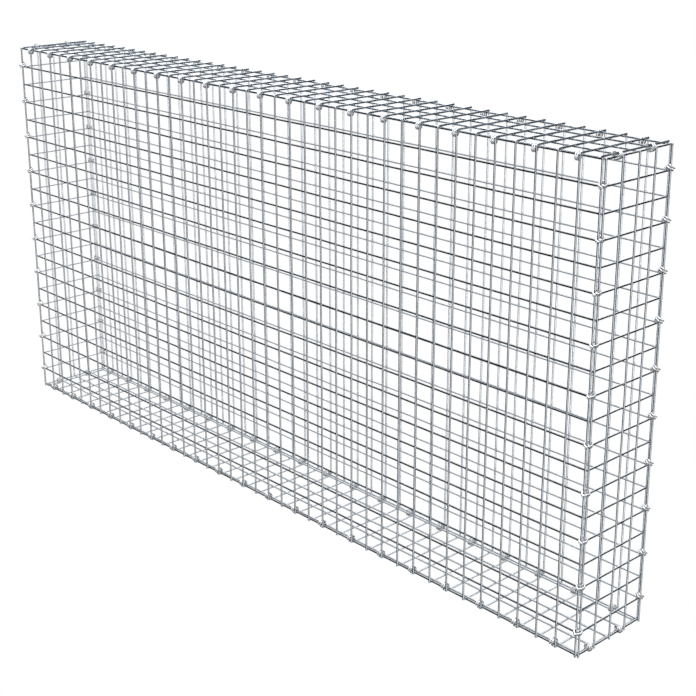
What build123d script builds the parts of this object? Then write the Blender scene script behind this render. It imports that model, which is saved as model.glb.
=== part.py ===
"""Welded-mesh gabion basket: six flat mesh panels held edge to edge by two-turn spiral clips.

The frame is centred on the basket, +X along its length, +Y to the rear and +Z up, with the ground at zero.
"""

import os
from math import cos, pi, radians, sin, sqrt

from build123d import *

# Mesh, in millimetres and cells: wires, depth of a weld, and ends that run past the last wire
mesh_pitch = 50.0
length_cells = 40
depth_cells = 4
height_cells = 20
wire_diameter = 4.0
weld_sink = 0.6
seat_gap = 0.2
foot_stub = 4.0
cover_inset = 6.0
lid_stub = 8.8

# Spiral clips: wire, play round the two wires that a clip holds, rise of one turn and facets in one turn
clip_wire = 3.0
clip_play = 2.5
clip_lead = 5.0
clip_turns = 2
clip_facets = 8
clip_stride = 2
clip_gap = 0.3
corner_clip_lean = 30.0
corner_lift_share = 0.95
inward_start = 3

# Square bars with the same steel section as the round wires
bar_share = sqrt(pi) / 2
bar_side = wire_diameter * bar_share
clip_bar = clip_wire * bar_share

# Panels: the two layers are welded a step apart, and loose wires lie side by side or cross on each other
length = length_cells * mesh_pitch
depth = depth_cells * mesh_pitch
height = height_cells * mesh_pitch
layer_step = wire_diameter - weld_sink
beside = wire_diameter + seat_gap
across = bar_side + seat_gap

# Clips: mean radius, the radius that is free inside, and the radius that the clip fills
clip_radius = wire_diameter + clip_play + clip_wire / 2
clip_bore = clip_radius - clip_bar / 2
clip_reach = clip_radius + clip_bar / 2
clip_half_rise = clip_turns * clip_lead / 2

# Long walls: rails on the mesh lines and uprights outside them, front at minus Y
wall_rail_y = depth / 2
wall_upright_y = wall_rail_y + layer_step

# End walls close against the rails of the long walls
end_rail_x = length / 2 + seat_gap + wire_diameter / 2
end_upright_x = end_rail_x + layer_step
end_edge_y = depth / 2

# Lid and base cross the long walls' rails with their outer layer, and their edge wires lie inside all rails
cover_rise = across - layer_step
cover_edge_y = wall_rail_y - cover_inset
cover_end_x = end_rail_x - beside

# Clips on the edges: places beside the crossings, and how far the two wires stand off a clip's centre
edge_clip_offset = (wire_diameter + clip_wire) / 2 + clip_half_rise + seat_gap
long_clip_y = (wall_rail_y + cover_edge_y) / 2
end_clip_x = (end_rail_x + cover_end_x) / 2
bar_corner = bar_side / 2 + clip_gap


def hang(stand):
    """Distance from a clip's centre to the face of the bar it hangs on, for a bar that stands off the centre."""
    return sqrt(clip_bore**2 - (stand + bar_side / 2) ** 2)


long_clip_drop = hang(wall_rail_y - long_clip_y) - bar_corner - cover_rise
end_clip_drop = hang(end_rail_x - end_clip_x) - bar_corner - across

# Heights: the basket stands on the lowest turns of its clips
bottom_row_z = clip_reach - min(long_clip_drop, end_clip_drop)
top_row_z = bottom_row_z + height
foot_z = bottom_row_z - foot_stub
head_z = top_row_z + bar_side / 2

# Clips on the corners lean on the rails, with their outward side low
corner_x = (length / 2 + end_upright_x) / 2
corner_y = (wall_upright_y + end_edge_y) / 2
corner_clip_lift = corner_lift_share * clip_lead
lean_level = cos(radians(corner_clip_lean)) / sqrt(2)
lean_fall = sin(radians(corner_clip_lean))

# Rows of wires and of clips
columns = [(index - length_cells / 2) * mesh_pitch for index in range(length_cells + 1)]
rows = [bottom_row_z + index * mesh_pitch for index in range(height_cells + 1)]
cover_columns = [-cover_end_x, *columns[1:-1], cover_end_x]
inner_lines = [(index - depth_cells / 2) * mesh_pitch for index in range(1, depth_cells)]
clip_columns = columns[1::clip_stride]
clip_rows = rows[1::clip_stride]
clip_lines = inner_lines[::clip_stride]
side_bay = round(len(columns) / 3)


def wires(plane, centres, start, stop):
    """Row of square bars with their centres in a plane, run from start to stop along its normal."""
    with BuildSketch(plane.offset(start)) as profiles:
        with Locations(*centres):
            Rectangle(bar_side, bar_side)
    extrude(profiles.sketch, amount=stop - start)


def finish(piece, label):
    """Labels a finished piece and writes it."""
    piece.part.label = label
    export_step(piece.part, f"parts/{label}.step", write_pcurves=False)


def mirrored(piece, about):
    """The same piece on the opposite side of the basket."""
    with BuildPart() as copy:
        add(piece.part.mirror(about))
    return copy


def front_bay(bay_columns):
    """One bay of the front wall, cut half a cell past the columns that it ends on inside the wall."""
    first = max(bay_columns[0] - mesh_pitch / 2, columns[0])
    last = min(bay_columns[-1] + mesh_pitch / 2, columns[-1])
    with BuildPart() as bay:
        wires(Plane.XY, [(x, -wall_upright_y) for x in bay_columns], foot_z, head_z)
        wires(Plane.YZ, [(-wall_rail_y, z) for z in rows], first, last)
    return bay


def cover(row_z, side, reach):
    """Lid or base: cross wires outside a row of rails, out to a reach, and long wires inside it."""
    lines = [-cover_edge_y, *inner_lines, cover_edge_y]
    with BuildPart() as panel:
        wires(Plane.YZ, [(y, row_z + side * cover_rise) for y in lines], -cover_end_x, cover_end_x)
        wires(Plane.ZX, [(row_z + side * across, x) for x in cover_columns], -reach, reach)
    return panel


def clip_row(places):
    """Clips at a row of places, each with its X axis outward and its Z axis along the edge."""
    with BuildPart() as row:
        with Locations(*places):
            add(clip.part)
    return row


os.makedirs("parts", exist_ok=True)

# Long walls: each is welded in three bays that meet between two columns, and the back mirrors the front
front_bays = {"left": front_bay(columns[:side_bay]), "middle": front_bay(columns[side_bay:-side_bay])}
front_bays["right"] = mirrored(front_bays["left"], Plane.YZ)
for bay_name, bay in front_bays.items():
    finish(bay, f"front_mesh_{bay_name}")
    finish(mirrored(bay, Plane.XZ), f"back_mesh_{bay_name}")

# End walls: rails inside and uprights outside
end_lines = [-end_edge_y, *inner_lines, end_edge_y]
with BuildPart() as right_end:
    wires(Plane.XY, [(end_upright_x, y) for y in end_lines], foot_z, head_z)
    wires(Plane.ZX, [(z, end_rail_x) for z in rows], -end_edge_y, end_edge_y)
finish(right_end, "right_end_mesh")
finish(mirrored(right_end, Plane.YZ), "left_end_mesh")

# Lid with cross wires that run past the walls, and base with cross wires that end under the rails
finish(cover(top_row_z, 1, cover_edge_y + lid_stub), "lid_mesh")
finish(cover(bottom_row_z, -1, wall_rail_y), "base_mesh")

# Spiral clip: a square bar lofted along a left-hand helix of straight facets, with its ends on the outward side
facet_angle = 2 * pi / clip_facets
facet_stretch = 1 / cos(facet_angle / 2)
with BuildPart() as clip:
    for index in range(clip_turns * clip_facets + 1):
        turn = (index + 0.5) * facet_angle
        outward = Vector(cos(turn), -sin(turn), 0)
        rise = Vector(0, 0, index * clip_lead / clip_facets - clip_half_rise)
        centre = outward * clip_radius * facet_stretch + rise
        with BuildSketch(Plane(origin=centre, x_dir=outward, z_dir=outward.cross(Vector(0, 0, 1)))):
            Rectangle(clip_bar * facet_stretch, clip_bar)
    loft(ruled=True)

# Clips on the corners: two corners opposite each other have theirs turned, so that the ends clear the rails
for corner_name, side_x, side_y, start in (
    ("front_right", 1, -1, 0),
    ("back_right", 1, 1, inward_start),
    ("front_left", -1, -1, inward_start),
    ("back_left", -1, 1, 0),
):
    leaning = Plane(
        x_dir=(side_x * lean_level, side_y * lean_level, -lean_fall),
        z_dir=(side_x * lean_fall / sqrt(2), side_y * lean_fall / sqrt(2), sqrt(2) * lean_level),
        origin=(side_x * corner_x, side_y * corner_y, corner_clip_lift),
    )
    turned = Location(leaning) * Rotation(0, 0, -360 * start / clip_facets)
    finish(clip_row([Location((0, 0, z)) * turned for z in clip_rows]), f"{corner_name}_corner_clips")

# Clips on the long edges stand to the left of the uprights, and those on the end edges to the front of them
for level_name, level, row_z in (("top", 1, top_row_z), ("bottom", -1, bottom_row_z)):
    for side_name, side in (("front", -1), ("back", 1)):
        long_places = [
            Plane(
                origin=(x - edge_clip_offset, side * long_clip_y, row_z - level * long_clip_drop),
                x_dir=(0, side, level),
                z_dir=(1, 0, 0),
            )
            for x in clip_columns
        ]
        finish(clip_row(long_places), f"{side_name}_{level_name}_clips")
    for end_name, side in (("left", -1), ("right", 1)):
        end_places = [
            Plane(
                origin=(side * end_clip_x, y - edge_clip_offset, row_z - level * end_clip_drop),
                x_dir=(side, 0, level),
                z_dir=(0, 1, 0),
            )
            for y in clip_lines
        ]
        finish(clip_row(end_places), f"{end_name}_end_{level_name}_clips")
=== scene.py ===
"""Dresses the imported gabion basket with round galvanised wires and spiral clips, in a pale studio."""

from __future__ import annotations

import logging
import math
from dataclasses import dataclass
from enum import Enum
from typing import Any

import bpy
import numpy as np
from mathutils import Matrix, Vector

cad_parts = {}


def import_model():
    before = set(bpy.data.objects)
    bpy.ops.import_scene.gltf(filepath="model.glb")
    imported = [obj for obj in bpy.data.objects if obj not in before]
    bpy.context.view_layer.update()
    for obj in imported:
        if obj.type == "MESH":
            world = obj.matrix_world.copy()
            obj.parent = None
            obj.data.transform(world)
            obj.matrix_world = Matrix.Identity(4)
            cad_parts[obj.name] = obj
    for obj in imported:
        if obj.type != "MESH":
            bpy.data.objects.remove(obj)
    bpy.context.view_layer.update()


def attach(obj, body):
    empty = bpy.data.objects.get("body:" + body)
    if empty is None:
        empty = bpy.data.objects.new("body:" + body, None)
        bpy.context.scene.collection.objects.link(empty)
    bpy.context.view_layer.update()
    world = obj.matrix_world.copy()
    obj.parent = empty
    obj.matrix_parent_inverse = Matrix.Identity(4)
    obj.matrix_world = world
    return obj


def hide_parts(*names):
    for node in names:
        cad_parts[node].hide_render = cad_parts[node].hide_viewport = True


LOG = logging.getLogger("gabion_basket")
MM = 0.001
IMAGE_SIDE = 696
SEED = 50

Triple = tuple[float, float, float]
Colour = tuple[float, float, float, float]

# Pieces that a light falls on, by how their names start
PANELS = ("front_wall", "back_wall", "left_end", "right_end", "lid", "base")
FAR_CLIPS = ("spiral_back_bottom", "spiral_left_end", "spiral_back_left")
FAR_PIECES = ("back_wall", "left_end", "base", *FAR_CLIPS)
NEAR_CLIPS = ("spiral_front", "spiral_right_end", "spiral_back_right", "spiral_back_top")
FRONT_TOP_CLIPS = ("spiral_front_top",)
NEAR_END = ("right_end",)
LID = ("lid",)

# Headings of the main lights
OVERHEAD: Triple = (0.0, 0.0, 1.0)
BACK_LEFT: Triple = (-0.60, 0.57, 0.56)

# Bluish tints of the lights on the lid and on the clips of its front edge
LID_TINT: Triple = (0.82, 0.90, 1.0)
CLIP_TINT: Triple = (0.86, 0.90, 1.0)

# Colour sockets of the Mix node, by number because its sockets for numbers have the same names
MIX_FACTOR = 0
MIX_FIRST = 6
MIX_SECOND = 7
MIX_RESULT = 2


class Run(Enum):
    """Direction that a row of straight wires runs in."""

    ALONG = 0
    ACROSS = 1
    UP = 2

    @property
    def others(self) -> tuple[int, int]:
        """The two axes across the run, in right-handed order."""
        return (self.value + 1) % 3, (self.value + 2) % 3


class Surface(Enum):
    """What a face of a wire is, which is also its material slot."""

    COATED = 0
    CUT = 1


@dataclass(frozen=True)
class Skin:
    """Faces of some wires as arrays.

    The points of each ring of a wire follow each other, so a quad joins two neighbouring rings and a cap
    closes an end ring.
    """

    points: np.ndarray
    weld: np.ndarray
    quads: np.ndarray
    caps: np.ndarray

    @staticmethod
    def of_tubes(points: np.ndarray, weld: np.ndarray) -> Skin:
        """Faces of closed tubes from their rings of points.

        Args:
            points: Places with the shape tubes, rings, sides, 3. A ring turns right-handed about the run.
            weld: How near to a weld each ring lies, from 0 to 1, with the shape rings.

        Returns:
            The tubes' points, side faces and end caps.
        """
        tubes, rings, sides, _ = points.shape
        index = np.arange(tubes * rings * sides).reshape(tubes, rings, sides)
        turned = np.roll(index, -1, axis=2)
        quads = np.stack([index[:, :-1], turned[:, :-1], turned[:, 1:], index[:, 1:]], axis=-1)
        caps = np.concatenate([index[:, 0, ::-1], index[:, -1, :]])
        heat = np.broadcast_to(weld[None, :, None], (tubes, rings, sides))
        return Skin(points.reshape(-1, 3), heat.ravel(), quads.reshape(-1, 4), caps)

    @staticmethod
    def joined(skins: list[Skin]) -> Skin:
        """Several skins as one, with the corner numbers of each moved past those before it.

        Args:
            skins: Skins of wires with the same number of sides.

        Returns:
            One skin with all their faces.
        """
        shifts = np.cumsum([0] + [len(skin.points) for skin in skins[:-1]])
        return Skin(
            np.concatenate([skin.points for skin in skins]),
            np.concatenate([skin.weld for skin in skins]),
            np.concatenate([skin.quads + shift for skin, shift in zip(skins, shifts)]),
            np.concatenate([skin.caps + shift for skin, shift in zip(skins, shifts)]),
        )

    def to_object(self, name: str, materials: list[bpy.types.Material]) -> bpy.types.Object:
        """Puts the skin into a mesh object at the origin.

        Args:
            name: Name of the piece.
            materials: Materials in the order of Surface.

        Returns:
            The object, linked to the scene.
        """
        mesh = bpy.data.meshes.new(name)
        mesh.vertices.add(len(self.points))
        mesh.vertices.foreach_set("co", self.points.astype(np.float32).ravel())
        corners = np.concatenate([self.quads.ravel(), self.caps.ravel()]).astype(np.int32)
        sides = self.caps.shape[1]
        starts = np.concatenate(
            [np.arange(len(self.quads)) * 4, self.quads.size + np.arange(len(self.caps)) * sides]
        ).astype(np.int32)
        on_side = np.arange(len(starts)) < len(self.quads)
        mesh.loops.add(len(corners))
        mesh.loops.foreach_set("vertex_index", corners)
        mesh.polygons.add(len(starts))
        mesh.polygons.foreach_set("loop_start", starts)
        mesh.polygons.foreach_set("use_smooth", on_side)
        slots = np.where(on_side, Surface.COATED.value, Surface.CUT.value).astype(np.int32)
        mesh.polygons.foreach_set("material_index", slots)
        mesh.update(calc_edges=True)
        heat = mesh.attributes.new("weld", "FLOAT", "POINT")
        heat.data.foreach_set("value", self.weld.astype(np.float32))
        for material in materials:
            mesh.materials.append(material)
        made = bpy.data.objects.new(name, mesh)
        bpy.context.scene.collection.objects.link(made)
        return made


@dataclass(frozen=True)
class WireForm:
    """Form of a drawn and welded wire."""

    diameter: float = 4.0 * MM
    sides: int = 10
    weld_reach: float = 3.2 * MM
    weld_fade: float = 2.0 * MM
    weld_swell: float = 0.13
    heat_reach: float = 4.5 * MM
    chamfer: float = 0.4 * MM
    end_share: float = 0.8
    end_spread: float = 0.5 * MM
    wander: float = 0.22 * MM
    wander_length: float = 310.0 * MM


@dataclass(frozen=True)
class WireRow:
    """Parallel wires of one layer of a panel, with their welds at common stations."""

    run: Run
    places: np.ndarray
    start: float
    stop: float
    welds: np.ndarray

    def stations(self, form: WireForm) -> np.ndarray:
        """Places of the rings along the run.

        There are two at each end, for its chamfer, and one at each weld and on either side of it.

        Args:
            form: The wire's form.

        Returns:
            The places in rising order.
        """
        near = self.welds[:, None] + np.array([-1.0, 0.0, 1.0]) * form.weld_reach
        low, high = self.start + form.chamfer, self.stop - form.chamfer
        inner = np.unique(np.clip(near.ravel(), low, high))
        between = inner[(inner > low) & (inner < high)]
        return np.concatenate([[self.start, low], between, [high, self.stop]])

    def skin(self, form: WireForm, chance: np.random.Generator) -> Skin:
        """Round bars along straight lines.

        A point is the place of its wire, plus the station along the run, plus a circle across it. The
        circle's radius is that of the wire, swelled near each weld by a bell curve and drawn in at the cut
        ends. A slow sine wave of a fraction of a millimetre moves each wire off its line between its ends.

        Args:
            form: The wire's form.
            chance: Source of the spread from wire to wire.

        Returns:
            The wires' faces.
        """
        ring = self.stations(form)
        wires, count = len(self.places), len(ring)
        off_weld = np.abs(ring[:, None] - self.welds[None, :]).min(axis=1)
        swell = 1.0 + form.weld_swell * np.exp(-((off_weld / form.weld_fade) ** 2))
        drawn_in = np.where(np.isin(np.arange(count), [0, count - 1]), form.end_share, 1.0)
        radius = form.diameter / 2 * swell * drawn_in
        angle = 2 * np.pi * (np.arange(form.sides) + 0.5) / form.sides
        phase = chance.uniform(0, 2 * np.pi, (wires, 2, 1))
        held = np.sin(np.pi * np.clip((ring - self.start) / (self.stop - self.start), 0, 1))
        wave = np.sin(2 * np.pi * ring / form.wander_length + phase) * held * form.wander
        along = np.broadcast_to(ring, (wires, count)).copy()
        along[:, :2] -= chance.uniform(0, form.end_spread, (wires, 1))
        along[:, -2:] += chance.uniform(0, form.end_spread, (wires, 1))
        centres = self.places[:, :, None] + wave
        first, second = self.run.others
        points = np.empty((wires, count, form.sides, 3))
        points[..., self.run.value] = along[:, :, None]
        points[..., first] = centres[:, 0, :, None] + radius[:, None] * np.cos(angle)
        points[..., second] = centres[:, 1, :, None] + radius[:, None] * np.sin(angle)
        heat = np.exp(-((off_weld / form.heat_reach) ** 2))
        return Skin.of_tubes(points, heat)


def grid_places(first: np.ndarray | float, second: np.ndarray | float) -> np.ndarray:
    """Pairs of places on the two axes across a run, one of which is shared by the whole row."""
    return np.stack(np.broadcast_arrays(first, second), axis=-1)


@dataclass(frozen=True)
class MeshPanel:
    """A flat panel of two layers of welded wires, standing for one or more CAD nodes."""

    name: str
    nodes: tuple[str, ...]
    layers: tuple[WireRow, ...]
    form: WireForm = WireForm()

    def build(self, materials: list[bpy.types.Material], chance: np.random.Generator) -> bpy.types.Object:
        """Makes the panel and puts it in the place of its nodes.

        Args:
            materials: Coated and cut finishes.
            chance: Source of the spread from wire to wire.

        Returns:
            The panel's object.
        """
        skin = Skin.joined([layer.skin(self.form, chance) for layer in self.layers])
        panel = skin.to_object(self.name, materials)
        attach(panel, "root")
        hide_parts(*self.nodes)
        return panel


@dataclass(frozen=True)
class ClipForm:
    """Form of a spiral clip: wire, mean radius, rise of a turn, and number of turns."""

    wire: float = 3.0 * MM
    radius: float = 7.75 * MM
    lead: float = 5.0 * MM
    turns: int = 2
    steps: int = 12
    sides: int = 8
    first_angle: float = math.radians(22.5)
    roll_spread: float = math.radians(9.0)
    chamfer: float = 0.35 * MM
    end_share: float = 0.82

    def coil(self) -> np.ndarray:
        """A round wire carried along a left-hand helix, in the clip's own frame.

        The path is a circle that turns clockwise as it rises evenly. Across the path, the section's axes
        are the outward radius and the cross product of the path's direction with it.

        Returns:
            Points with the shape rings, sides, 3.
        """
        sweep = 2 * np.pi * self.turns
        step = np.linspace(0.0, 1.0, self.turns * self.steps + 1)
        inset = self.chamfer / (sweep * self.radius)
        share = np.concatenate([[0.0, inset], step[1:-1], [1.0 - inset, 1.0]])
        angle = self.first_angle + sweep * share
        flat = np.zeros_like(angle)
        outward = np.stack([np.cos(angle), -np.sin(angle), flat], axis=-1)
        rise = (share - 0.5) * self.turns * self.lead
        path = self.radius * outward + np.stack([flat, flat, rise], axis=-1)
        slope = self.turns * self.lead / (sweep * self.radius)
        ahead = np.stack([-np.sin(angle), -np.cos(angle), flat + slope], axis=-1)
        across = np.cross(ahead / math.hypot(1.0, slope), outward)
        size = np.full(len(share), self.wire / 2)
        size[[0, -1]] *= self.end_share
        turn = 2 * np.pi * (np.arange(self.sides) + 0.5) / self.sides
        section = np.cos(turn)[:, None] * outward[:, None] + np.sin(turn)[:, None] * across[:, None]
        return path[:, None] + size[:, None, None] * section


@dataclass(frozen=True)
class ClipRow:
    """Spiral clips along one edge of the basket, standing for one CAD node."""

    node: str
    centres: np.ndarray
    outward: Triple
    along: Triple
    start: float = 0.0
    form: ClipForm = ClipForm()

    def build(self, materials: list[bpy.types.Material], chance: np.random.Generator) -> bpy.types.Object:
        """Makes the row of clips and puts it in the place of its node.

        Each clip's frame has its first axis outward and its third along the edge. The first and second
        axes are turned about the third by the row's start angle, and a little more or less for each clip.

        Args:
            materials: Coated and cut finishes.
            chance: Source of the roll from clip to clip.

        Returns:
            The row's object.
        """
        out = np.array(self.outward) / np.linalg.norm(self.outward)
        axis = np.array(self.along) / np.linalg.norm(self.along)
        spread = chance.uniform(-self.form.roll_spread, self.form.roll_spread, len(self.centres))
        roll = (self.start + spread)[:, None]
        first = np.cos(roll) * out + np.sin(roll) * np.cross(axis, out)
        second = np.cross(axis, first)
        frames = np.stack([first, second, np.broadcast_to(axis, first.shape)], axis=1)
        points = np.einsum("rsk,ckd->crsd", self.form.coil(), frames) + self.centres[:, None, None, :]
        skin = Skin.of_tubes(points, np.zeros(points.shape[1]))
        row = skin.to_object(f"spiral_{self.node}", materials)
        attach(row, "root")
        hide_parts(self.node)
        return row


def row_places(x: np.ndarray | float, y: np.ndarray | float, z: np.ndarray | float) -> np.ndarray:
    """Places of a row of clips, from one coordinate that changes along it and two that it shares."""
    return np.stack(np.broadcast_arrays(x, y, z), axis=-1)


@dataclass(frozen=True)
class Cover:
    """Lid or base: which way it faces, where its outer wires lie and how its clips stand off the rails.

    The level is 1 at the top and -1 at the bottom. A clip's drop is how far its centre lies from the row
    of rails towards the middle of the basket.
    """

    name: str
    edge_name: str
    level: int
    edge_y: float
    end_x: float
    reach: float
    long_clip_drop: float
    end_clip_drop: float


@dataclass(frozen=True)
class Basket:
    """The basket's sizes, in metres, most of which are the CAD model's own.

    The outer wires of the lid and the base lie up to 3 mm from where the CAD model has them, as in the
    photograph, and their clips lie with them. Wires that end free are shorter by the spread of their ends.
    """

    pitch: float = 50.0 * MM
    length_cells: int = 40
    depth_cells: int = 4
    height_cells: int = 20
    layer_step: float = 3.4 * MM
    bottom_row: float = 9.715 * MM
    foot: float = 3.8 * MM
    head: float = 1.4 * MM
    wall_rail_y: float = 100.0 * MM
    end_rail_x: float = 1002.2 * MM
    end_edge_y: float = 100.0 * MM
    cover_rise: float = 0.345 * MM
    lid: Cover = Cover(
        name="lid",
        edge_name="top",
        level=1,
        edge_y=95.5 * MM,
        end_x=995.0 * MM,
        reach=103.6 * MM,
        long_clip_drop=3.2 * MM,
        end_clip_drop=-1.2 * MM,
    )
    base: Cover = Cover(
        name="base",
        edge_name="bottom",
        level=-1,
        edge_y=92.0 * MM,
        end_x=995.0 * MM,
        reach=99.7 * MM,
        long_clip_drop=1.3 * MM,
        end_clip_drop=-0.386 * MM,
    )
    clip_offset: float = 8.7 * MM
    clip_stride: int = 2
    corner_lift: float = 4.75 * MM
    corner_lean: float = math.radians(30.0)
    inward_start: float = math.radians(-135.0)

    @property
    def columns(self) -> np.ndarray:
        """Places of the uprights along the walls."""
        return (np.arange(self.length_cells + 1) - self.length_cells / 2) * self.pitch

    @property
    def rows(self) -> np.ndarray:
        """Heights of the rails."""
        return self.bottom_row + np.arange(self.height_cells + 1) * self.pitch

    @property
    def inner_lines(self) -> np.ndarray:
        """Places of the inner lines across the basket."""
        return (np.arange(1, self.depth_cells) - self.depth_cells / 2) * self.pitch

    def lines(self, edge: float) -> np.ndarray:
        """All lines across the basket, the outer ones at a panel's own edges."""
        return np.concatenate([[-edge], self.inner_lines, [edge]])

    def uprights(self, places: np.ndarray) -> WireRow:
        """Uprights of a wall, with short feet below the lowest rail."""
        rows = self.rows
        return WireRow(Run.UP, places, rows[0] - self.foot, rows[-1] + self.head, rows)

    def long_wires(self, places: np.ndarray, columns: np.ndarray) -> WireRow:
        """Wires along the basket, from the first of the wires that cross them to the last."""
        return WireRow(Run.ALONG, places, columns[0], columns[-1], columns)

    def long_wall(self, name: str, side: int) -> MeshPanel:
        """Front or back wall, with its uprights outside and its rails inside.

        Args:
            name: Name of the wall.
            side: Side that it stands on, -1 for the front and 1 for the back.

        Returns:
            The wall, standing for its three bays.
        """
        uprights = self.uprights(grid_places(self.columns, side * (self.wall_rail_y + self.layer_step)))
        rails = self.long_wires(grid_places(side * self.wall_rail_y, self.rows), self.columns)
        nodes = tuple(f"{name}_mesh_{bay}" for bay in ("left", "middle", "right"))
        return MeshPanel(f"{name}_wall_wires", nodes, (uprights, rails))

    def end_wall(self, name: str, side: int) -> MeshPanel:
        """Left or right end, with its uprights outside and its rails inside.

        Args:
            name: Name of the end.
            side: Side that it stands on, -1 for the left and 1 for the right.

        Returns:
            The end's panel.
        """
        lines = self.lines(self.end_edge_y)
        uprights = self.uprights(grid_places(side * (self.end_rail_x + self.layer_step), lines))
        places = grid_places(self.rows, side * self.end_rail_x)
        rails = WireRow(Run.ACROSS, places, lines[0], lines[-1], lines)
        return MeshPanel(f"{name}_end_wires", (f"{name}_end_mesh",), (uprights, rails))

    def row_of(self, cover: Cover) -> float:
        """Height of the rails that a cover lies on."""
        return self.rows[-1] if cover.level > 0 else self.rows[0]

    def cover_panel(self, cover: Cover) -> MeshPanel:
        """Lid or base, with its long wires level with a row of rails and its cross wires outside it.

        Args:
            cover: The lid's or the base's own sizes.

        Returns:
            The cover's panel.
        """
        lines = self.lines(cover.edge_y)
        columns = np.concatenate([[-cover.end_x], self.columns[1:-1], [cover.end_x]])
        long_z = self.row_of(cover) + cover.level * self.cover_rise
        long_wires = self.long_wires(grid_places(lines, long_z), columns)
        places = grid_places(long_z + cover.level * self.layer_step, columns)
        cross_wires = WireRow(Run.ACROSS, places, -cover.reach, cover.reach, lines)
        return MeshPanel(f"{cover.name}_wires", (f"{cover.name}_mesh",), (long_wires, cross_wires))

    def panels(self) -> list[MeshPanel]:
        """All six panels.

        Returns:
            The walls, the ends, the lid and the base.
        """
        walls = [self.long_wall("front", -1), self.long_wall("back", 1)]
        ends = [self.end_wall("left", -1), self.end_wall("right", 1)]
        return [*walls, *ends, self.cover_panel(self.lid), self.cover_panel(self.base)]

    def corner_clips(self, name: str, side_x: int, side_y: int, start: float) -> ClipRow:
        """Clips on an upright edge, leaning with their outward side low.

        Args:
            name: Name of the corner.
            side_x: End that the corner is on, -1 for the left and 1 for the right.
            side_y: Wall that the corner is on, -1 for the front and 1 for the back.
            start: Angle that the clips are turned by, so that their ends clear the rails.

        Returns:
            The edge's clips.
        """
        heights = self.rows[1 :: self.clip_stride] + self.corner_lift
        x = (self.columns[-1] + self.end_rail_x + self.layer_step) / 2
        y = (self.wall_rail_y + self.layer_step + self.end_edge_y) / 2
        low, high = math.sin(self.corner_lean), math.cos(self.corner_lean)
        outward = (side_x * high, side_y * high, -math.sqrt(2) * low)
        along = (side_x * low, side_y * low, math.sqrt(2) * high)
        centres = row_places(side_x * x, side_y * y, heights)
        return ClipRow(f"{name}_corner_clips", centres, outward, along, start)

    def long_edge_clips(self, name: str, side: int, cover: Cover) -> ClipRow:
        """Clips on a long edge, each to the left of an upright.

        Args:
            name: Name of the wall.
            side: Side that the wall stands on, -1 for the front and 1 for the back.
            cover: Lid or base that the clips hold.

        Returns:
            The edge's clips.
        """
        x = self.columns[1 :: self.clip_stride] - self.clip_offset
        y = side * (self.wall_rail_y + cover.edge_y) / 2
        centres = row_places(x, y, self.row_of(cover) - cover.level * cover.long_clip_drop)
        outward = (0.0, side, cover.level)
        return ClipRow(f"{name}_{cover.edge_name}_clips", centres, outward, (1.0, 0.0, 0.0))

    def end_edge_clips(self, name: str, side: int, cover: Cover) -> ClipRow:
        """Clips on a short edge, each to the front of an upright.

        Args:
            name: Name of the end.
            side: Side that the end stands on, -1 for the left and 1 for the right.
            cover: Lid or base that the clips hold.

        Returns:
            The edge's clips.
        """
        x = side * (self.end_rail_x + cover.end_x) / 2
        y = self.inner_lines[:: self.clip_stride] - self.clip_offset
        centres = row_places(x, y, self.row_of(cover) - cover.level * cover.end_clip_drop)
        outward = (side, 0.0, cover.level)
        return ClipRow(f"{name}_{cover.edge_name}_clips", centres, outward, (0.0, 1.0, 0.0))

    def clips(self) -> list[ClipRow]:
        """The clips of all twelve edges.

        Returns:
            The corners' clips, then those of the lid and those of the base.
        """
        made = [
            self.corner_clips("front_right", 1, -1, 0.0),
            self.corner_clips("back_right", 1, 1, self.inward_start),
            self.corner_clips("front_left", -1, -1, self.inward_start),
            self.corner_clips("back_left", -1, 1, 0.0),
        ]
        for cover in (self.lid, self.base):
            made.append(self.long_edge_clips("front", -1, cover))
            made.append(self.long_edge_clips("back", 1, cover))
            made.append(self.end_edge_clips("left_end", -1, cover))
            made.append(self.end_edge_clips("right_end", 1, cover))
        return made


class Value:
    """A socket that gives a number or a colour, with the operators that shader maths needs."""

    def __init__(self, board: Board, socket: bpy.types.NodeSocket | None) -> None:
        """Wraps a socket of a board's node."""
        self.board = board
        self.socket = socket

    def _maths(self, operation: str, first: Any, second: Any) -> Value:
        """A Math node on two numbers or sockets."""
        return self.board.node("ShaderNodeMath", {"operation": operation}, {0: first, 1: second})

    def __add__(self, other: Any) -> Value:
        """Sum."""
        return self._maths("ADD", self, other)

    def __radd__(self, other: Any) -> Value:
        """Sum with a number on the left."""
        return self._maths("ADD", other, self)

    def __sub__(self, other: Any) -> Value:
        """Difference."""
        return self._maths("SUBTRACT", self, other)

    def __rsub__(self, other: Any) -> Value:
        """Difference from a number on the left."""
        return self._maths("SUBTRACT", other, self)

    def __mul__(self, other: Any) -> Value:
        """Product."""
        return self._maths("MULTIPLY", self, other)

    def __rmul__(self, other: Any) -> Value:
        """Product with a number on the left."""
        return self._maths("MULTIPLY", other, self)

    def stepped(self, low: float, high: float) -> Value:
        """A smooth step of this value.

        Args:
            low: Value up to which the step is 0.
            high: Value from which it is 1.

        Returns:
            The step, from 0 to 1.
        """
        settings = {"interpolation_type": "SMOOTHSTEP"}
        inputs = {"Value": self, "From Min": low, "From Max": high}
        return self.board.node("ShaderNodeMapRange", settings, inputs)


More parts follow.
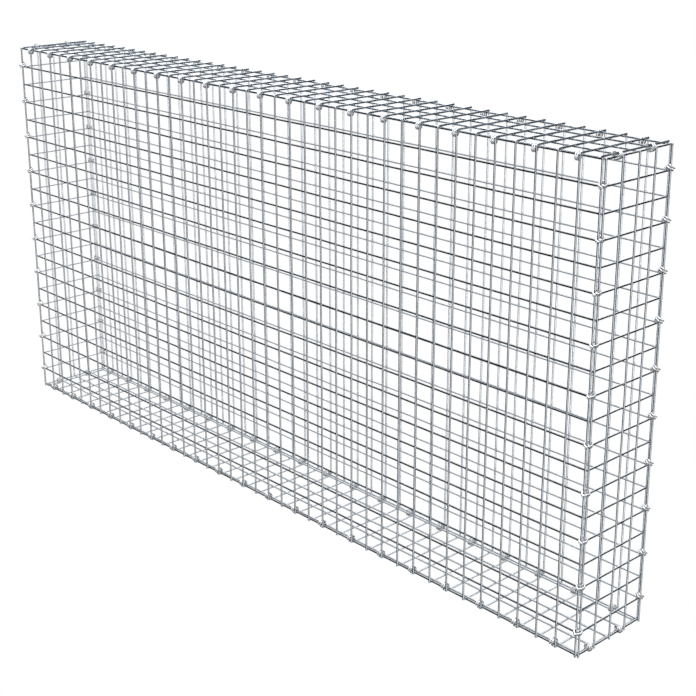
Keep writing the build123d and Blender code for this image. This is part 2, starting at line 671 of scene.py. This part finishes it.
class Board:
    """The node tree of a material or of the world."""

    def __init__(self, owner: bpy.types.Material | bpy.types.World) -> None:
        """Empties the owner's node tree.

        Args:
            owner: Material or world that the nodes belong to.
        """
        owner.use_nodes = True
        self.tree = owner.node_tree
        self.tree.nodes.clear()

    def node(
        self,
        kind: str,
        settings: dict[str, Any] | None = None,
        inputs: dict[str | int, Any] | None = None,
        output: str | int = 0,
    ) -> Value:
        """Adds a node.

        Args:
            kind: Blender's name of the node type.
            settings: Properties that are set before the sockets.
            inputs: Numbers, colours or wrapped sockets, by socket name or number.
            output: Name or number of the socket to give back.

        Returns:
            The output socket, wrapped, or an empty wrapper for a node that has none.
        """
        added = self.tree.nodes.new(kind)
        for name, setting in (settings or {}).items():
            setattr(added, name, setting)
        for name, given in (inputs or {}).items():
            if isinstance(given, Value):
                self.tree.links.new(given.socket, added.inputs[name])
            else:
                added.inputs[name].default_value = given
        return Value(self, added.outputs[output] if len(added.outputs) else None)

    def mixed(self, factor: Any, first: Any, second: Any) -> Value:
        """A blend of two colours.

        Args:
            factor: Share of the second colour, from 0 to 1.
            first: Colour at 0.
            second: Colour at 1.

        Returns:
            The blended colour.
        """
        settings = {"data_type": "RGBA", "clamp_factor": True}
        inputs = {MIX_FACTOR: factor, MIX_FIRST: first, MIX_SECOND: second}
        return self.node("ShaderNodeMix", settings, inputs, MIX_RESULT)

    def noise(self, place: Value, size: float, detail: float) -> Value:
        """Soft noise.

        Args:
            place: Coordinates in metres.
            size: About how large a blotch is, in metres.
            detail: How many finer layers of noise lie on it.

        Returns:
            The noise, from 0 to 1.
        """
        inputs = {"Vector": place, "Scale": 1.0 / size, "Detail": detail}
        return self.node("ShaderNodeTexNoise", {}, inputs)

    def crystals(self, place: Value, size: float) -> Value:
        """A random grey for each crystal.

        Args:
            place: Coordinates in metres.
            size: About how large a crystal is, in metres.

        Returns:
            The grey, from 0 to 1.
        """
        colour = self.node("ShaderNodeTexVoronoi", {}, {"Vector": place, "Scale": 1.0 / size}, "Color")
        return self.node("ShaderNodeSeparateColor", {}, {0: colour})


@dataclass(frozen=True)
class ZincFinish:
    """Bright galvanised wire: zinc crystals, duller blotches, fine pits, and burnt zinc at the welds."""

    name: str
    bright: Colour = (0.697, 0.745, 0.795, 1.0)
    shade: Colour = (0.522, 0.562, 0.602, 1.0)
    dull: Colour = (0.592, 0.63, 0.667, 1.0)
    burnt: Colour = (0.415, 0.442, 0.47, 1.0)
    crystal: float = 5.0 * MM
    blotch: float = 28.0 * MM
    blotch_detail: float = 3.0
    blotch_edge: tuple[float, float] = (0.46, 0.66)
    blotch_share: float = 0.6
    pit: float = 1.1 * MM
    pit_detail: float = 2.0
    burn_share: float = 0.35
    burn_pit_share: float = 0.5
    smooth: float = 0.15
    rough: float = 0.30
    crystal_rough: float = 0.06
    weld_rough: float = 0.12
    metal: float = 1.0
    blotch_metal: float = 0.1
    pit_relief: float = 0.6
    crystal_relief: float = 0.4
    relief_strength: float = 0.35
    relief_depth: float = 0.15 * MM

    def material(self) -> bpy.types.Material:
        """Makes the node material.

        Returns:
            The material.
        """
        made = bpy.data.materials.new(self.name)
        board = Board(made)
        place = board.node("ShaderNodeTexCoord", {}, {}, "Object")
        crystal = board.crystals(place, self.crystal)
        blotch = board.noise(place, self.blotch, self.blotch_detail).stepped(*self.blotch_edge)
        pit = board.noise(place, self.pit, self.pit_detail)
        weld = board.node("ShaderNodeAttribute", {"attribute_name": "weld"}, {}, "Fac")
        zinc = board.mixed(crystal, self.shade, self.bright)
        zinc = board.mixed(self.blotch_share * blotch, zinc, self.dull)
        zinc = board.mixed(weld * (self.burn_share + self.burn_pit_share * pit), zinc, self.burnt)
        roughness = self.smooth + (self.rough - self.smooth) * blotch
        roughness = roughness + self.crystal_rough * crystal + self.weld_rough * weld
        metallic = self.metal - self.blotch_metal * blotch
        relief = self.pit_relief * pit + self.crystal_relief * crystal
        bump = board.node(
            "ShaderNodeBump",
            {},
            {"Strength": self.relief_strength, "Distance": self.relief_depth, "Height": relief},
        )
        shader = board.node(
            "ShaderNodeBsdfPrincipled",
            {},
            {"Base Color": zinc, "Metallic": metallic, "Roughness": roughness, "Normal": bump},
        )
        board.node("ShaderNodeOutputMaterial", {}, {"Surface": shader})
        return made


MESH_ZINC = ZincFinish("galvanised_mesh_wire")
CLIP_ZINC = ZincFinish(
    "galvanised_clip_wire",
    bright=(0.88, 0.89, 0.90, 1.0),
    shade=(0.76, 0.77, 0.785, 1.0),
    dull=(0.80, 0.805, 0.815, 1.0),
    blotch=9.0 * MM,
    rough=0.36,
    metal=0.4,
)


@dataclass(frozen=True)
class CutFinish:
    """Sheared wire end: bare bright steel with smears of zinc."""

    name: str = "sheared_steel"
    steel: Colour = (0.62, 0.62, 0.63, 1.0)
    smear: Colour = (0.84, 0.84, 0.86, 1.0)
    grain: float = 0.6 * MM
    grain_detail: float = 3.0
    smear_edge: tuple[float, float] = (0.4, 0.7)
    metal: float = 0.1
    smooth: float = 0.45
    rough: float = 0.70

    def material(self) -> bpy.types.Material:
        """Makes the node material.

        Returns:
            The material.
        """
        made = bpy.data.materials.new(self.name)
        board = Board(made)
        place = board.node("ShaderNodeTexCoord", {}, {}, "Object")
        grain = board.noise(place, self.grain, self.grain_detail).stepped(*self.smear_edge)
        colour = board.mixed(grain, self.steel, self.smear)
        roughness = self.smooth + (self.rough - self.smooth) * grain
        shader = board.node(
            "ShaderNodeBsdfPrincipled",
            {},
            {"Base Color": colour, "Metallic": self.metal, "Roughness": roughness},
        )
        board.node("ShaderNodeOutputMaterial", {}, {"Surface": shader})
        return made


@dataclass(frozen=True)
class Viewpoint:
    """The photograph's camera, in metres and radians.

    Its lens is in pixels of the photograph, and its sensor in millimetres.
    """

    place: Triple = (2.4283, -2.0306, 1.5142)
    azimuth: float = math.radians(47.076)
    elevation: float = math.radians(17.481)
    focal: float = 1365.1
    centre: tuple[float, float] = (353.28, 288.53)
    sensor: float = 36.0
    clip_range: tuple[float, float] = (0.05, 200.0)

    def build(self) -> bpy.types.Object:
        """Makes the camera and sets it as the scene's.

        Returns:
            The camera's object.
        """
        data = bpy.data.cameras.new("photo_camera")
        data.sensor_width = self.sensor
        data.lens = self.focal / IMAGE_SIDE * self.sensor
        data.shift_x = 0.5 - self.centre[0] / IMAGE_SIDE
        data.shift_y = self.centre[1] / IMAGE_SIDE - 0.5
        data.clip_start, data.clip_end = self.clip_range
        camera = bpy.data.objects.new("photo_camera", data)
        level = math.cos(self.elevation)
        ahead = Vector(
            (-math.sin(self.azimuth) * level, math.cos(self.azimuth) * level, -math.sin(self.elevation))
        )
        camera.location = self.place
        camera.rotation_mode = "QUATERNION"
        camera.rotation_quaternion = ahead.to_track_quat("-Z", "Y")
        bpy.context.scene.collection.objects.link(camera)
        bpy.context.scene.camera = camera
        return camera


@dataclass(frozen=True)
class Glow:
    """A soft patch of light in the surroundings, brightest near a heading and gone far from it.

    The near and far values are cosines of the angles from the heading.
    """

    heading: Triple
    strength: float
    far: float
    near: float


@dataclass(frozen=True)
class Fill:
    """A broad light from one heading that falls only on some pieces, chosen by how their names start."""

    name: str
    pieces: tuple[str, ...]
    heading: Triple
    strength: float
    spread: float = math.radians(80.0)
    colour: Triple = (1.0, 1.0, 1.0)

    def build(self, made: list[bpy.types.Object]) -> bpy.types.Object:
        """Makes the light and links it to its pieces.

        Args:
            made: Pieces of the basket, among which the light's own are found.

        Returns:
            The light's object.
        """
        data = bpy.data.lights.new(self.name, "SUN")
        data.energy = self.strength
        data.angle = self.spread
        data.color = self.colour
        light = bpy.data.objects.new(self.name, data)
        light.rotation_mode = "QUATERNION"
        light.rotation_quaternion = Vector(self.heading).to_track_quat("Z", "Y")
        lit = bpy.data.collections.new(f"{self.name}_pieces")
        for piece in made:
            if piece.name.startswith(self.pieces):
                lit.objects.link(piece)
        light.light_linking.receiver_collection = lit
        bpy.context.scene.collection.objects.link(light)
        return light


@dataclass(frozen=True)
class Studio:
    """Plain white floor, soft surroundings, and broad lights that fill in panels and clips."""

    floor_half: float = 60.0
    floor_drop: float = 0.2 * MM
    white: Colour = (1.0, 1.0, 1.0, 1.0)
    sky: Colour = (0.97, 0.98, 1.0, 1.0)
    dim: float = 0.008
    glows: tuple[Glow, ...] = (
        Glow(OVERHEAD, strength=2.0, far=0.75, near=0.95),
        Glow(BACK_LEFT, strength=0.9, far=0.76, near=0.95),
    )
    fills: tuple[Fill, ...] = (
        Fill("right_fill", PANELS, (0.86, -0.43, -0.28), strength=1.8),
        Fill("rail_fill", FAR_PIECES, (-0.70, -0.65, 0.30), strength=1.25),
        Fill("cross_fill", FAR_PIECES, (0.70, 0.65, 0.30), strength=1.65),
        Fill("upright_fill", FAR_PIECES, (0.70, -0.65, -0.30), strength=1.5),
        Fill("far_top_fill", FAR_PIECES, BACK_LEFT, strength=1.6),
        Fill("end_fill", NEAR_END, BACK_LEFT, strength=1.6),
        Fill(
            "lid_fill",
            LID,
            (-0.86, 0.38, 0.34),
            strength=2.15,
            spread=math.radians(50.0),
            colour=LID_TINT,
        ),
        Fill("stub_fill", LID, (0.30, -0.90, 0.32), strength=3.6, spread=math.radians(40.0)),
        Fill("clip_fill", NEAR_CLIPS, (0.22, -0.40, 0.89), strength=4.6, spread=math.radians(60.0)),
        Fill("front_clip_fill", FRONT_TOP_CLIPS, (0.30, -0.94, -0.15), strength=1.3, colour=CLIP_TINT),
    )

    def floor(self) -> bpy.types.Object:
        """Floor that the basket stands on, evenly white and seen by the camera only.

        Returns:
            The floor's object.
        """
        mesh = bpy.data.meshes.new("studio_floor")
        square = np.array([[-1, -1, 0], [1, -1, 0], [1, 1, 0], [-1, 1, 0]], float) * self.floor_half
        mesh.from_pydata(square.tolist(), [], [[0, 1, 2, 3]])
        material = bpy.data.materials.new("white_floor")
        board = Board(material)
        shader = board.node("ShaderNodeEmission", {}, {"Color": self.white, "Strength": 1.0})
        board.node("ShaderNodeOutputMaterial", {}, {"Surface": shader})
        mesh.materials.append(material)
        floor = bpy.data.objects.new("studio_floor", mesh)
        floor.location.z = -self.floor_drop
        floor.visible_glossy = False
        floor.visible_diffuse = False
        floor.visible_shadow = False
        bpy.context.scene.collection.objects.link(floor)
        return floor

    def surroundings(self) -> None:
        """World: plain white to the camera, and for the light on the basket dim with soft glows."""
        world = bpy.data.worlds.new("studio")
        bpy.context.scene.world = world
        board = Board(world)
        ahead = board.node("ShaderNodeTexCoord", {}, {}, "Generated")
        light: Any = self.dim
        for glow in self.glows:
            settings = {"operation": "DOT_PRODUCT"}
            cosine = board.node("ShaderNodeVectorMath", settings, {0: ahead, 1: glow.heading}, "Value")
            light = light + glow.strength * cosine.stepped(glow.far, glow.near)
        seen = board.node("ShaderNodeBackground", {}, {"Color": self.white, "Strength": 1.0})
        lit = board.node("ShaderNodeBackground", {}, {"Color": self.sky, "Strength": light})
        to_camera = board.node("ShaderNodeLightPath", {}, {}, "Is Camera Ray")
        shader = board.node("ShaderNodeMixShader", {}, {0: to_camera, 1: lit, 2: seen})
        board.node("ShaderNodeOutputWorld", {}, {"Surface": shader})

    def build(self, made: list[bpy.types.Object]) -> None:
        """Makes the whole studio, shown without a film curve so that white stays white.

        Args:
            made: Pieces of the basket, which the fill lights choose from.
        """
        bpy.context.scene.view_settings.view_transform = "Standard"
        self.floor()
        self.surroundings()
        for fill in self.fills:
            fill.build(made)


def main() -> None:
    logging.basicConfig(level=logging.INFO, format="%(name)s: %(message)s")
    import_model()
    chance = np.random.default_rng(SEED)
    cut = CutFinish().material()
    mesh_zinc = MESH_ZINC.material()
    clip_zinc = CLIP_ZINC.material()
    basket = Basket()
    pieces = [panel.build([mesh_zinc, cut], chance) for panel in basket.panels()]
    pieces += [row.build([clip_zinc, cut], chance) for row in basket.clips()]
    for piece in pieces:
        LOG.info("%s: %d faces", piece.name, len(piece.data.polygons))
    Studio().build(pieces)
    Viewpoint().build()


if __name__ == "__main__":
    main()
